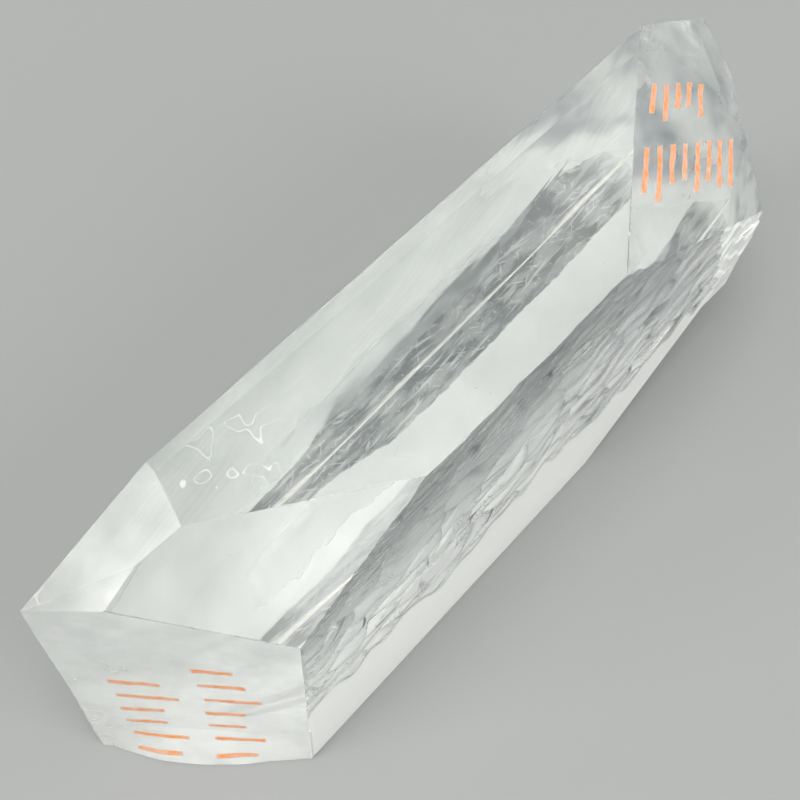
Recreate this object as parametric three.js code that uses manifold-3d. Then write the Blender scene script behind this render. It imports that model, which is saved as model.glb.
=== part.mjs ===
import * as THREE from "three";
import { mergeVertices } from "three/addons/utils/BufferGeometryUtils.js";
import Module from "manifold-3d";

// A grown quartz bar lying on its flat side, in millimetres with +Z up.
// X runs along the bar towards its far end and Y across it, from the cobbled front
// face (towards -Y) to the cobbled back face (towards +Y). The crystal's own axis is Y.

const barThickness = 40.2;      // between the two cobbled faces at the near end, over the hillocks
const backTaper = 0.66;         // degrees the back face leaves the front one towards the far end
const ridgeHeight = 93.9;       // top face above the rest face, along its front edge
const topRise = 2.4;            // degrees the top face climbs towards the back
const cornerX = -82.4;          // front lower corner of the near end
const frontY = -21.2;           // front face
const rhombTilt = 51.787;       // angle between a rhombohedron face and the Y axis
const nearSlopeReach = 50.1;    // near upper slope, distance from that corner
const farSlopeReach = 101.7;    // far upper slope, distance from that corner
const farEndReach = 135.1;      // upright far end face, distance from that corner
const farLength = 195.8;        // where the far end is cut square, from that corner
const underCutReach = 42.0;     // slope under the far end, distance from that corner
const bandStart = 36.8;         // narrow band along the back edge of the top, from the front face
const bandDrop = 7;             // degrees that band falls away from the top

const hillockLength = 11.3;     // spacing of the growth hillocks along the bar
const hillockRise = 10.1;       // spacing up the face
const hillockHeight = 1.3;      // how far a hillock stands out

const wasm = await Module();
wasm.setup();

function solidFrom(geometry) {
  const source = geometry.clone();
  source.deleteAttribute("normal");
  source.deleteAttribute("uv");
  const merged = mergeVertices(source, 1e-5);
  const solid = new wasm.Manifold(new wasm.Mesh({
    numProp: 3,
    vertProperties: new Float32Array(merged.attributes.position.array),
    triVerts: new Uint32Array(merged.index.array),
  }));
  return solid;
}

function outsideOf(normal, reach) {
  // everything beyond a flat face, as a large block standing on that face
  const direction = new THREE.Vector3(...normal).normalize();
  const block = new THREE.BoxGeometry(600, 600, 200);
  block.translate(0, 0, 100 + reach);
  block.applyQuaternion(new THREE.Quaternion().setFromUnitVectors(new THREE.Vector3(0, 0, 1), direction));
  block.translate(cornerX, frontY, 0);
  return solidFrom(block);
}

function spread(first, second, third) {
  // repeatable scatter between -1 and 1
  const value = Math.sin(first * 127.1 + second * 311.7 + third * 74.7) * 43758.5453;
  return 2 * (value - Math.floor(value)) - 1;
}

function hillock(halfLength, halfHeight, rise, apexX, apexZ, facing) {
  // low eight-sided cone with its peak off centre, so one side is a ledge
  const cone = new THREE.ConeGeometry(1, 1, 8, 1);
  const position = cone.attributes.position;
  for (let i = 0; i < position.count; i += 1) {
    const along = position.getX(i);
    const out = position.getY(i);
    const up = position.getZ(i);
    const peak = out > 0.4 ? 1 : 0;
    const depth = peak ? rise : -1;
    const flare = peak ? 0 : 1 + 1 / rise;
    const x = (along * flare + peak * apexX) * halfLength;
    const z = (up * flare + peak * apexZ) * halfHeight;
    position.setXYZ(i, x, depth, z);
  }
  if (facing < 0) {
    cone.rotateZ(Math.PI);
  }
  return solidFrom(cone);
}

const spreadOut = Math.tan(THREE.MathUtils.degToRad(backTaper));
const core = new THREE.BoxGeometry(250, barThickness, ridgeHeight + 12);
core.translate(cornerX + 85, frontY + hillockHeight + barThickness / 2, (ridgeHeight + 12) / 2);
let crystal = solidFrom(core).subtract(outsideOf([-spreadOut, 1, 0], barThickness - hillockHeight));

// Cobbled growth on both faces across the crystal's axis: staggered rows of hillocks
// that overlap like scales, with smaller ones let in between them.
const rows = Math.ceil((ridgeHeight + 10) / hillockRise);
const columns = Math.ceil(245 / hillockLength);
for (const facing of [-1, 1]) {
  for (let row = 0; row <= rows; row += 1) {
    for (let column = 0; column <= columns; column += 1) {
      const along = (column + 0.5 * (row % 2) + 0.32 * spread(row, column, facing)) * hillockLength;
      const up = (row + 0.28 * spread(column, row, 3 + facing)) * hillockRise;
      const growth = 1 + 0.22 * spread(row, column, 7 + facing);
      const stand = hillockHeight * (0.8 + 0.2 * spread(column, row, 11 + facing));
      const scale = hillock(
        hillockLength * 0.62 * growth,
        hillockRise * 0.7 * growth,
        stand,
        0.45 + 0.2 * spread(row, column, 13),
        0.35 * spread(row, column, 17),
        facing,
      );
      const place = along - 34;
      const backPlane = barThickness + spreadOut * place - hillockHeight;
      const depth = facing < 0 ? hillockHeight : backPlane;
      crystal = crystal.add(scale.translate([cornerX + place, frontY + depth, up]));
    }
  }
}

// Low swollen foot along the bottom of the near end.
const footOutline = new THREE.Shape([
  new THREE.Vector2(cornerX + 4, frontY + 1.2),
  new THREE.Vector2(cornerX - 1.2, frontY + 1.2),
  new THREE.Vector2(cornerX - 21.4, frontY + 21.6),
  new THREE.Vector2(cornerX - 26.6, frontY + 29.0),
  new THREE.Vector2(cornerX - 31.1, frontY + 38.5),
  new THREE.Vector2(cornerX + 4, frontY + 38.5),
]);
const foot = new THREE.ExtrudeGeometry(footOutline, { depth: 19.4, bevelEnabled: false });
const footSlope = solidFrom(foot).subtract(outsideOf([-0.76, -0.598, 0.255], 4.8));

// Flat growth faces. Two steep slopes rise from the front face to the top, one more
// closes each end upright, and one cuts the far end from beneath.
const tilt = THREE.MathUtils.degToRad(rhombTilt);
const side = Math.sin(tilt);
const out = -Math.cos(tilt);
const half = side / 2;
const tall = side * Math.sqrt(3) / 2;
crystal = crystal.subtract(outsideOf([-side, out, 0], 0));
crystal = crystal.add(footSlope);
crystal = crystal.subtract(outsideOf([side, out, 0], farEndReach));
crystal = crystal.subtract(outsideOf([-half, out, tall], nearSlopeReach));
crystal = crystal.subtract(outsideOf([half, out, tall], farSlopeReach));
crystal = crystal.subtract(outsideOf([half, out, -tall], underCutReach));
crystal = crystal.subtract(outsideOf([1, 0, 0], farLength));

// The broad slanted corner over the near end is in two flats that barely meet at an angle.
crystal = crystal.subtract(outsideOf([-0.340, 0.086, 0.937], 92.2));
crystal = crystal.subtract(outsideOf([-0.498, -0.222, 0.838], 76.8));

// Chunky steps left below the far slope, where growth stopped.
const steps = [
  [156, 5.8, 30, 29, 10.2, 10.7, 4],
  [160, 4.3, 36, 12.6, 7.8, 14.6, -5],
  [164, 5.1, 45, 10.7, 9.0, 8.8, 7],
  [147, 4.7, 26.7, 7.8, 8.4, 6.3, -8],
];
for (const [along, deep, up, lengthX, widthY, heightZ, turn] of steps) {
  const chunk = new THREE.BoxGeometry(lengthX, widthY, heightZ);
  chunk.rotateY(THREE.MathUtils.degToRad(turn));
  chunk.rotateX(THREE.MathUtils.degToRad(turn * 0.7));
  chunk.translate(cornerX + along, frontY + deep, up);
  crystal = crystal.add(solidFrom(chunk));
}
crystal = crystal.subtract(outsideOf([side, out, 0], farEndReach));
crystal = crystal.subtract(outsideOf([half, out, tall], farSlopeReach));

// Top: a broad face that climbs slightly to the back, and a narrow band along its back
// edge that falls away from it.
const climb = THREE.MathUtils.degToRad(topRise);
const fall = THREE.MathUtils.degToRad(bandDrop - topRise);
const bandZ = ridgeHeight + bandStart * Math.tan(climb);
crystal = crystal.subtract(outsideOf([0, -Math.sin(climb), Math.cos(climb)], ridgeHeight * Math.cos(climb)));
crystal = crystal.subtract(
  outsideOf([0, Math.sin(fall), Math.cos(fall)], bandZ * Math.cos(fall) + bandStart * Math.sin(fall)),
);

// The rest face is flat.
const below = new THREE.BoxGeometry(600, 300, 60);
below.translate(0, 0, -30);
crystal = crystal.subtract(solidFrom(below));

// The origin is under the middle of the crystal, on the rest face.
const box = crystal.boundingBox();
crystal = crystal.translate([-(box.min[0] + box.max[0]) / 2, -(box.min[1] + box.max[1]) / 2, 0]);

function geometryFrom(solid) {
  const mesh = solid.getMesh();
  const geometry = new THREE.BufferGeometry();
  const position = new Float32Array(mesh.numVert * 3);
  for (let i = 0; i < mesh.numVert; i += 1) {
    position[i * 3] = mesh.vertProperties[i * mesh.numProp];
    position[i * 3 + 1] = mesh.vertProperties[i * mesh.numProp + 1];
    position[i * 3 + 2] = mesh.vertProperties[i * mesh.numProp + 2];
  }
  geometry.setAttribute("position", new THREE.BufferAttribute(position, 3));
  geometry.setIndex(new THREE.BufferAttribute(new Uint32Array(mesh.triVerts), 1));
  geometry.computeVertexNormals();
  return geometry;
}

const part = new THREE.Group();
const clearQuartz = new THREE.MeshStandardMaterial({
  color: 0xe6edea,
  roughness: 0.05,
  metalness: 0,
  transparent: true,
  opacity: 0.35,
  flatShading: true,
});
const crystalMesh = new THREE.Mesh(geometryFrom(crystal), clearQuartz);
crystalMesh.name = "crystal";
part.add(crystalMesh);

export default part;
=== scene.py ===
import functools
import itertools
import math

import bmesh
import bpy
import numpy as np
from mathutils import Matrix, Vector


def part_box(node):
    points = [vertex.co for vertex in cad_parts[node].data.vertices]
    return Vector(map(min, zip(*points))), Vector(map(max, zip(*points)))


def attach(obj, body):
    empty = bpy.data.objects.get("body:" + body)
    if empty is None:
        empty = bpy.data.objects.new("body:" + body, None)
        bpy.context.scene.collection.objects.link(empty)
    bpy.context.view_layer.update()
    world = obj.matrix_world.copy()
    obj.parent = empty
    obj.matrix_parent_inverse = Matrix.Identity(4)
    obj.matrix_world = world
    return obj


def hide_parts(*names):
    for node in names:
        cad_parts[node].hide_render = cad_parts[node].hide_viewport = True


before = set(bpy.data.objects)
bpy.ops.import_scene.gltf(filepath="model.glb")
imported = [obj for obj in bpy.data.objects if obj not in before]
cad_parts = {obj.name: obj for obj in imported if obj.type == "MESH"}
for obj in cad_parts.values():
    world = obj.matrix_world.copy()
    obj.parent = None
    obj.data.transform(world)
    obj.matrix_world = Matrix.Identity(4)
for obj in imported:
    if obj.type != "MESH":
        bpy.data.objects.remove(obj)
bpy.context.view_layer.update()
nodeLow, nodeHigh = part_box("crystal")
print("frame loaded")

# the crystal's own shape, in metres, measured from the front lower corner of its near end
bar = {
    "thickness": 0.0401,        # between the two cobbled faces at the near end
    "backTaper": 0.66,          # degrees the back face leaves the front one
    "ridgeHeight": 0.0939,      # top above the floor, along its front edge
    "topRise": 2.4,             # degrees the top climbs to the back
    "nearSlope": 0.0501,        # reach of each flat face along its own normal
    "farSlope": 0.1017,
    "farEnd": 0.1351,
    "farLength": 0.1958,
    "underCut": 0.0420,
    "shoulder": 0.0922,
    "lowShoulder": 0.0768,
    "bandStart": 0.0368,        # narrow band along the back edge of the top
    "bandDrop": 7.0,
    "frontInset": 0.00008,      # the front face stays this far inside the node's box
}

rhombTilt = math.radians(51.787)        # between a rhombohedron face and the crystal's own axis
side = math.sin(rhombTilt)              # parts of such a face's normal: sideways, out of the front,
out = -math.cos(rhombTilt)              # and the sideways one split at 60 degrees
half = side / 2
tall = side * math.sqrt(3) / 2
taper = math.radians(bar["backTaper"])
climb = math.radians(bar["topRise"])
fall = math.radians(bar["bandDrop"] - bar["topRise"])
bandHeight = bar["ridgeHeight"] + bar["bandStart"] * math.tan(climb)
corner = Vector((nodeHigh.x - bar["farLength"], nodeLow.y + bar["frontInset"], 0.0))

# each flat face: the way it looks, and its distance from the corner that way
flats = {
    "nearEnd": ((-side, out, 0), 0.0),
    "farEnd": ((side, out, 0), bar["farEnd"]),
    "farCut": ((1, 0, 0), bar["farLength"]),
    "farSlope": ((half, out, tall), bar["farSlope"]),
    "nearSlope": ((-half, out, tall), bar["nearSlope"]),
    "shoulder": ((-0.340, 0.086, 0.937), bar["shoulder"]),
    "lowShoulder": ((-0.498, -0.222, 0.838), bar["lowShoulder"]),
    "top": ((0, -math.sin(climb), math.cos(climb)), bar["ridgeHeight"] * math.cos(climb)),
    "band": ((0, math.sin(fall), math.cos(fall)),
             bandHeight * math.cos(fall) + bar["bandStart"] * math.sin(fall)),
    "underCut": ((half, out, -tall), bar["underCut"]),
    "underside": ((0, 0, -1), 0.0),
    "front": ((0, -1, 0), 0.0),
    "back": ((-math.sin(taper), math.cos(taper), 0), bar["thickness"] * math.cos(taper)),
}

# worn edges: the two faces that meet, and the width of the worn strip; the last one is white, both bruised
# and a painted highlight
wornEdges = [
    ("top", "farSlope", 0.0002), ("top", "shoulder", 0.0002), ("nearSlope", "shoulder", 0.0002),
    ("nearEnd", "nearSlope", 0.0003), ("farSlope", "farEnd", 0.0006), ("farSlope", "farCut", 0.0006),
    ("farEnd", "farCut", 0.0006),
    ("front", "top", 0.0006), ("front", "nearSlope", 0.0005), ("front", "farSlope", 0.0006),
    ("band", "back", 0.0008), ("front", "underside", 0.0012), ("nearEnd", "front", 0.0010),
    ("back", "underside", 0.0011),
]


scatterRates = (127.1, 311.7, 74.7)     # uneven factors, so that neighbours get unlike values
scatterSize = 43758.5453


def scatter(first, second, third):
    # repeatable values from 0 to 1: the fraction left of a large sine of the three numbers
    phase = first * scatterRates[0] + second * scatterRates[1] + third * scatterRates[2]
    value = np.sin(phase) * scatterSize
    return value - np.floor(value)


def easeUp(value, start, end):
    # 0 below start, 1 above end, with an even bend between
    share = np.clip((value - start) / (end - start), 0.0, 1.0)
    return share * share * (3 - 2 * share)


def partly(share, variation):
    # 1 where the share is 1, less by the variation where it is 0
    return 1 - variation + variation * share


def addWaves(value, x, z, waves):
    # Adds sines over the face to a value. Each has its height, its radians for each metre along
    # the bar and up the face, and its start, which may be a sine of its own.
    for height, alongRate, upRate, start in waves:
        if isinstance(start, tuple):
            start = addWaves(0.0, x, z, [start])
        value = value + height * np.sin(x * alongRate + z * upRate + start)
    return value


cobbles = {
    "depth": 0.0013,            # how far the cobbles of the front face stand out
    "length": 0.0088,           # spacing along the bar at its near end
    "rise": 0.0066,             # spacing up the face
    "stretch": 0.50,            # share by which there are fewer to a metre half way along the span
    "stretchSpan": 0.39,        # about twice the length of the bar
    "reach": 2,                 # rows and columns looked at each way for the highest cobble
    "shiftAlong": 0.8,          # how far centres stray from an even grid, in spacings
    "shiftUp": 0.75,
    # waves that bend the grid along the bar and up it
    "wanderAlong": [(0.0011, 0.0, 260.0, (1.7, 70.0, 0.0, 0.0))],
    "wanderUp": [(0.0012, 210.0, 0.0, (1.5, 0.0, 120.0, 0.0)), (-0.0006, 520.0, 0.0, 2.0)],
    "turn": -0.12,              # how their long way rises, in radians, and what the far half adds
    "farTurn": 0.50,
    "turnScatter": 0.6,         # difference in turn from one to the next
    "farHalf": (0.045, 0.115),  # the far half's cobbles come in between these places
    "nearUntil": 0.13175,       # what only the near half has is gone by here, over this length
    "nearFade": 0.085,
    "nearTop": 0.084,           # and by here up the face, over this height
    "nearTopFade": 0.016,
    "level": 0.70,              # height of their tops, as a share of the depth
    "step": 0.22,               # difference in level from one to the next
    "domeAlong": 0.46,          # fall of a cobble's dome over its own spacing, along and across
    "domeAcross": 0.64,
    "farAlong": 0.26,           # the same on the far half, where they are long and slanted
    "farAcross": 0.98,
    "skewAlong": 0.2,           # share by which the fall along grows across, and the other way round
    "skewAcross": 0.3,
    "domeLimits": (-1.0, 3.0),  # its fall is kept between these
    "lean": 0.06,               # rise of a cobble along the bar, and what the near half adds
    "nearLean": 0.34,
    "nod": 0.04,                # rise of a cobble up the face, and what the near half adds
    "nearNod": -0.60,
    "tiltScatter": 0.70,        # difference in both from one to the next
    "streakDepth": 0.00005,     # fine lines along the bar under the ridge
    "streakSpacing": 0.0024,
    "streakStart": 0.066,       # they come in from this height, over this much
    "streakFade": 0.012,
    "streakBends": [(1.3, 55.0, 0.0, 0.0), (0.9, 21.0, 160.0, 0.0)],
    "lowEdge": 0.0285,          # the face is smooth below this height, with a ragged border
    "lowFade": 0.0045,
    "lowWaves": [(0.0030, 97.0, 0.0, (0.9, 310.0, 0.0, 0.0)), (0.0015, 233.0, 0.0, 1.0),
                 (0.0008, 611.0, 0.0, 2.1)],
    "smoothLevel": 0.62,
}
cobbleSeeds = {"along": 3.0, "up": 5.0, "turn": 10.0, "level": 12.0, "lean": 14.0, "nod": 16.0, "tone": 18.0}


def nearShare(x, z):
    # 1 low on the near half of the face, 0 at its far end and along its ridge
    along = np.clip((cobbles["nearUntil"] - x) / cobbles["nearFade"], 0.0, 1.0)
    return along * np.clip((cobbles["nearTop"] - z) / cobbles["nearTopFade"], 0.0, 1.0)


def ownValue(column, row, quality):
    # a number from -0.5 to 0.5 that belongs to one cobble
    return scatter(column, row, cobbleSeeds[quality]) - 0.5


def cobbleField(x, z):
    # Rounded cobbles meeting in V grooves: the highest of tilted paraboloids, each with its own
    # centre on a staggered grid, level, turn and tilt. Returns that height, how far it is above the
    # next highest one (0 in a groove), and a number from 0 to 1 that belongs to the cobble.
    place = addWaves(x, x, z, cobbles["wanderAlong"]) / cobbles["length"]
    place = place * (1 - cobbles["stretch"] * x / cobbles["stretchSpan"])
    level = addWaves(z, x, z, cobbles["wanderUp"]) / cobbles["rise"]
    near = nearShare(x, z)
    far = easeUp(x, *cobbles["farHalf"])
    slant = cobbles["turn"] + cobbles["farTurn"] * far
    domeAlong = cobbles["domeAlong"] + (cobbles["farAlong"] - cobbles["domeAlong"]) * far
    domeAcross = cobbles["domeAcross"] + (cobbles["farAcross"] - cobbles["domeAcross"]) * far
    lean = cobbles["lean"] + cobbles["nearLean"] * near
    nod = cobbles["nod"] + cobbles["nearNod"] * near
    belowAll = -9.0
    best = np.full(x.shape, belowAll)
    second = np.full(x.shape, belowAll)
    tone = np.zeros(x.shape)
    steps = range(-cobbles["reach"], cobbles["reach"] + 1)
    for stepX, stepZ in itertools.product(steps, steps):
        i = np.floor(place) + stepX
        j = np.floor(level) + stepZ
        along = place - (i + 0.5 + 0.5 * np.mod(j, 2) + cobbles["shiftAlong"] * ownValue(i, j, "along"))
        across = level - (j + 0.5 + cobbles["shiftUp"] * ownValue(j, i, "up"))
        turn = slant + cobbles["turnScatter"] * ownValue(i, j, "turn")
        ownAlong = along * np.cos(turn) + across * np.sin(turn)
        ownAcross = across * np.cos(turn) - along * np.sin(turn)
        dome = domeAlong * ownAlong ** 2 * (1 + cobbles["skewAlong"] * ownAcross)
        dome = dome + domeAcross * ownAcross ** 2 * (1 + cobbles["skewAcross"] * ownAlong)
        ownLean = lean + cobbles["tiltScatter"] * ownValue(i, j, "lean")
        ownNod = nod + cobbles["tiltScatter"] * ownValue(i, j, "nod")
        height = cobbles["level"] + cobbles["step"] * ownValue(i, j, "level")
        height = height + ownLean * ownAlong + ownNod * ownAcross - np.clip(dome, *cobbles["domeLimits"])
        second = np.maximum(second, np.minimum(height, best))
        tone = np.where(height > best, scatter(i, j, cobbleSeeds["tone"]), tone)
        best = np.maximum(best, height)
    return np.clip(best, 0.0, 1.0), best - second, tone


ledges = {
    "spacing": 0.0064,          # broken ledges where the face meets the far end
    "startX": 0.1450,
    "topZ": 0.0680,
    "slant": 0.34,              # how much further along they start for each metre down
    "border": (-0.0006, 0.0012),    # they come in between these places past that line
    "foot": (0.0235, 0.0255),   # and between these heights
    "borderWaves": [(0.0012, 0.0, 900.0, 0.0)],
    "bends": [(0.35, 310.0, 0.0, 0.0), (0.2, 790.0, 0.0, 1.0)],
    "climb": 40.0,              # ledges crossed for each metre along the bar
    "breaks": 210.0,            # breaks in a ledge for each metre, and how far they stray
    "breakShift": 0.7,
    "low": 0.35,                # level of the lowest ledge, and how much higher the others may be
    "higher": 0.5,
    "tilt": 0.35,               # rise over one ledge
    "seeds": (3.0, 5.0, 8.0),
}


def ledgeShare(x, z):
    # 1 on the broken ledges, 0 on the cobbles: past a slanting border, above the undercut
    border = ledges["startX"] + (ledges["topZ"] - z) * ledges["slant"]
    border = addWaves(border, x, z, ledges["borderWaves"])
    return easeUp(x - border, *ledges["border"]) * easeUp(z, *ledges["foot"])


def ledgeRelief(x, z):
    # Height from 0 to 1 of stepped ledges: a sawtooth up the face, bent along the bar by
    # sines, with its own level for each piece of a ledge.
    shift, breakSeed, levelSeed = ledges["seeds"]
    place = addWaves(z / ledges["spacing"], x, z, ledges["bends"]) + x * ledges["climb"]
    number = np.floor(place)
    cell = np.floor(x * ledges["breaks"] + ledges["breakShift"] * scatter(number, number + shift, breakSeed))
    level = ledges["low"] + ledges["higher"] * scatter(number, cell, levelSeed)
    return np.clip(level + ledges["tilt"] * (place - number - 0.5), 0.0, 1.0)


def lowShare(x, z):
    # 0 on the smooth low part of the front face, 1 on the cobbles, with a ragged border
    border = addWaves(cobbles["lowEdge"], x, z, cobbles["lowWaves"])
    return easeUp(z - border, 0.0, cobbles["lowFade"])


def frontRelief(x, z):
    # height from 0 to 1 of the whole front face: smooth low down, then cobbles, then ledges
    height = cobbleField(x, z)[0]
    height = cobbles["smoothLevel"] + (height - cobbles["smoothLevel"]) * lowShare(x, z)
    return height + (ledgeRelief(x, z) - height) * ledgeShare(x, z)


def streakRelief(x, z):
    # Fine lines along the bar: a sine across the face whose phase drifts along it,
    # fading in towards the ridge.
    phase = addWaves(z / cobbles["streakSpacing"], x, z, cobbles["streakBends"])
    fade = np.clip((z - cobbles["streakStart"]) / cobbles["streakFade"], 0.0, 1.0)
    return cobbles["streakDepth"] * fade * np.sin(2 * np.pi * phase)


hillocks = {
    "depth": 0.00060,           # roll of the back face, stepped like contour lines
    "middle": 0.5,
    "waves": [(0.18, 92.0, 0.0, (1.9, 0.0, 48.0, 0.0)), (0.16, 37.0, 105.0, 1.0),
              (0.12, 171.0, -133.0, 2.0)],
    "steps": 6.0,               # growth steps over the whole roll
    "stepStart": 0.36,          # where a step starts to rise within its level, and over how much
    "stepWidth": 0.28,
    "smooth": 0.70,             # share of the plain roll in the sum
}


def hillockRelief(x, z):
    # A gentle roll made of three crossing sines, from 0 to 1, drawn towards even steps
    # so that growth terraces run round the low rises.
    roll = addWaves(hillocks["middle"], x, z, hillocks["waves"])
    level = roll * hillocks["steps"]
    whole = np.floor(level)
    terrace = whole + np.clip((level - whole - hillocks["stepStart"]) / hillocks["stepWidth"], 0.0, 1.0)
    return hillocks["smooth"] * roll + (1 - hillocks["smooth"]) * terrace / hillocks["steps"]


grid = {
    "step": 0.00041,            # spacing on the cobbles
    "sideStep": 0.0010,         # spacing before the front face starts and below its cobbles
    "startX": -0.0335,
    "frontX": -0.0005,
    "endX": 0.2005,
    "startZ": -0.0015,
    "cobbleZ": 0.0245,
    "endZ": 0.0985,
}


def gridLine(start, change, end):
    # places from start to end, widely spaced up to the change and closely after it, with an
    # even number of spaces
    wide = np.arange(start, change, grid["sideStep"])
    close = np.arange(change, end, grid["step"])
    places = np.concatenate([wide, close])
    return places[:len(places) - 1 + len(places) % 2]


def gridFaces(index):
    # one quad for each cell of a grid of vertex numbers
    corners = [index[:-1, :-1], index[1:, :-1], index[1:, 1:], index[:-1, 1:]]
    return np.stack([numbers.ravel() for numbers in corners], axis=-1)


def gridRim(index):
    # the vertex numbers once round a grid's border
    return np.concatenate([index[:, 0], index[-1, 1:], index[-2::-1, -1], index[0, -2:0:-1]])


def slabBetweenFaces():
    # A closed slab: a fine grid over (x, z) for the cobbled front face and one half as fine for
    # the back face, with y worked out from the relief. Each step of the back's border is joined
    # to two steps of the front's by a face with five corners.
    placesX = gridLine(grid["startX"], grid["frontX"], grid["endX"])
    placesZ = gridLine(grid["startZ"], grid["cobbleZ"], grid["endZ"])
    x, z = np.meshgrid(placesX, placesZ, indexing="ij")
    front = cobbles["depth"] * (1 - frontRelief(x, z)) + streakRelief(x, z)
    front = np.maximum(front, 0.0)
    frontPoints = np.stack([x, front, z], axis=-1).reshape(-1, 3)
    frontIndex = np.arange(x.size).reshape(x.shape)
    x = x[::2, ::2]
    z = z[::2, ::2]
    back = bar["thickness"] + x * math.tan(taper) - hillocks["depth"] * (1 - hillockRelief(x, z))
    backPoints = np.stack([x, back, z], axis=-1).reshape(-1, 3)
    backIndex = np.arange(x.size).reshape(x.shape) + frontIndex.size
    points = np.concatenate([frontPoints, backPoints]) + np.array(corner)
    frontRim = gridRim(frontIndex)
    backRim = gridRim(backIndex)
    rimFaces = np.stack([
        np.roll(frontRim, -2)[::2], np.roll(frontRim, -1)[::2], frontRim[::2],
        backRim, np.roll(backRim, -1),
    ], axis=-1)
    faces = gridFaces(frontIndex).tolist() + gridFaces(backIndex)[:, ::-1].tolist() + rimFaces.tolist()
    mesh = bpy.data.meshes.new("slab")
    mesh.from_pydata(points.tolist(), [], faces)
    mesh.polygons.foreach_set("use_smooth", np.ones(len(mesh.polygons), dtype=bool))
    mesh.update()
    return mesh


cutTolerance = 1e-7


def cutFlat(shape, normal, reach):
    # takes off everything beyond a flat face and closes the cut with one flat polygon
    direction = Vector(normal).normalized()
    everything = shape.verts[:] + shape.edges[:] + shape.faces[:]
    cut = bmesh.ops.bisect_plane(
        shape, geom=everything, dist=cutTolerance,
        plane_co=corner + direction * reach, plane_no=direction, clear_outer=True,
    )
    rim = [item for item in cut["geom_cut"] if isinstance(item, bmesh.types.BMEdge)]
    rim = [edge for edge in rim if edge.is_boundary]
    made = bmesh.ops.edgeloop_fill(shape, edges=rim)
    for face in made["faces"]:
        face.smooth = False
    for edge in rim:
        edge.smooth = False


def wornFlat(first, second, width):
    # the flat that wears an edge down: it looks half way between its two faces, and lies
    # inside their meeting line by half its width times the tangent of half their angle
    firstWay = Vector(flats[first][0]).normalized()
    secondWay = Vector(flats[second][0]).normalized()
    middle = firstWay + secondWay
    meeting = (flats[first][1] + flats[second][1]) / middle.length
    halfAngle = firstWay.angle(secondWay) / 2
    return middle.normalized(), meeting - width / 2 * math.tan(halfAngle)


def addObject(name, data):
    # a new object in the scene
    item = bpy.data.objects.new(name, data)
    bpy.context.scene.collection.objects.link(item)
    return item


def joinBlock(mesh, points, faces, rounded=False):
    # adds a small closed block to the crystal as one solid
    blockMesh = bpy.data.meshes.new("block")
    blockMesh.from_pydata(points, [], faces)
    blockMesh.polygons.foreach_set("use_smooth", np.full(len(blockMesh.polygons), rounded))
    shape = bmesh.new()
    shape.from_mesh(blockMesh)
    bmesh.ops.recalc_face_normals(shape, faces=shape.faces)
    shape.to_mesh(blockMesh)
    shape.free()
    block = addObject("block", blockMesh)
    whole = addObject("whole", mesh)
    join = whole.modifiers.new("join", "BOOLEAN")
    join.operation = "UNION"
    join.solver = "MANIFOLD"
    join.object = block
    bpy.context.view_layer.update()
    joined = bpy.data.meshes.new_from_object(whole.evaluated_get(bpy.context.evaluated_depsgraph_get()))
    bpy.data.objects.remove(whole)
    bpy.data.objects.remove(block)
    return joined


boxFaces = [(0, 1, 2, 3), (4, 7, 6, 5), (0, 4, 5, 1), (1, 5, 6, 2), (2, 6, 7, 3), (3, 7, 4, 0)]


chunks = [
    # centre, size and turn of the chunky steps below the far slope
    ((0.156, 0.0058, 0.0300), (0.0290, 0.0102, 0.0107), 4),
    ((0.160, 0.0043, 0.0360), (0.0126, 0.0078, 0.0146), -5),
    ((0.164, 0.0051, 0.0450), (0.0107, 0.0090, 0.0088), 7),
]
chunkWear = {
    "least": 0.74,              # each corner keeps this share of its way out, and up to this more
    "more": 0.34,
    "nod": 0.7,                 # turn about X for each degree about Y
    "spread": 900.0,            # sets the corners of one chunk apart from those of the next
}


def boxPoints(centre, size, turn):
    # eight corners of a box turned a little about Y and X, each drawn in by its own amount
    nod = math.radians(turn * chunkWear["nod"])
    spin = Matrix.Rotation(nod, 3, "X") @ Matrix.Rotation(math.radians(turn), 3, "Y")
    signs = [(-1, -1), (1, -1), (1, 1), (-1, 1)]
    points = []
    for z in (-1, 1):
        for x, y in signs:
            lead = centre[0] * chunkWear["spread"] + x
            worn = [chunkWear["least"] + chunkWear["more"] * scatter(lead, y + axis, z) for axis in range(3)]
            offset = Vector((x * size[0] * worn[0], y * size[1] * worn[1], z * size[2] * worn[2])) / 2
            points.append(corner + Vector(centre) + spin @ offset)
    return points


foot = {
    # the near end swells out at its foot
    "width": 0.0478,            # along the end, from its front edge
    "inset": 0.0002,            # how far from that edge it starts
    "height": 0.0215,
    "below": 0.001,             # it reaches this far below the floor, where the underside is cut
    "swell": 0.00345,           # most it stands out, on the floor
    "skew": 1.28,               # above 1 the fullest place lies nearer the back
    "fullness": 0.9,            # below 1 it is fuller towards its sides
    "fall": 1.7,                # above 1 it falls away faster low down
    "sink": 0.00012,            # its border lies this far inside the crystal
    "ripple": 0.00018,          # slight unevenness, and its radians along and up the swelling
    "rippleAlong": 23.0,
    "rippleUp": 9.0,
    "rippleSlant": 5.0,
    "depth": 0.002,             # how far the block reaches into the crystal
    "cells": (56, 22),
}


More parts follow.
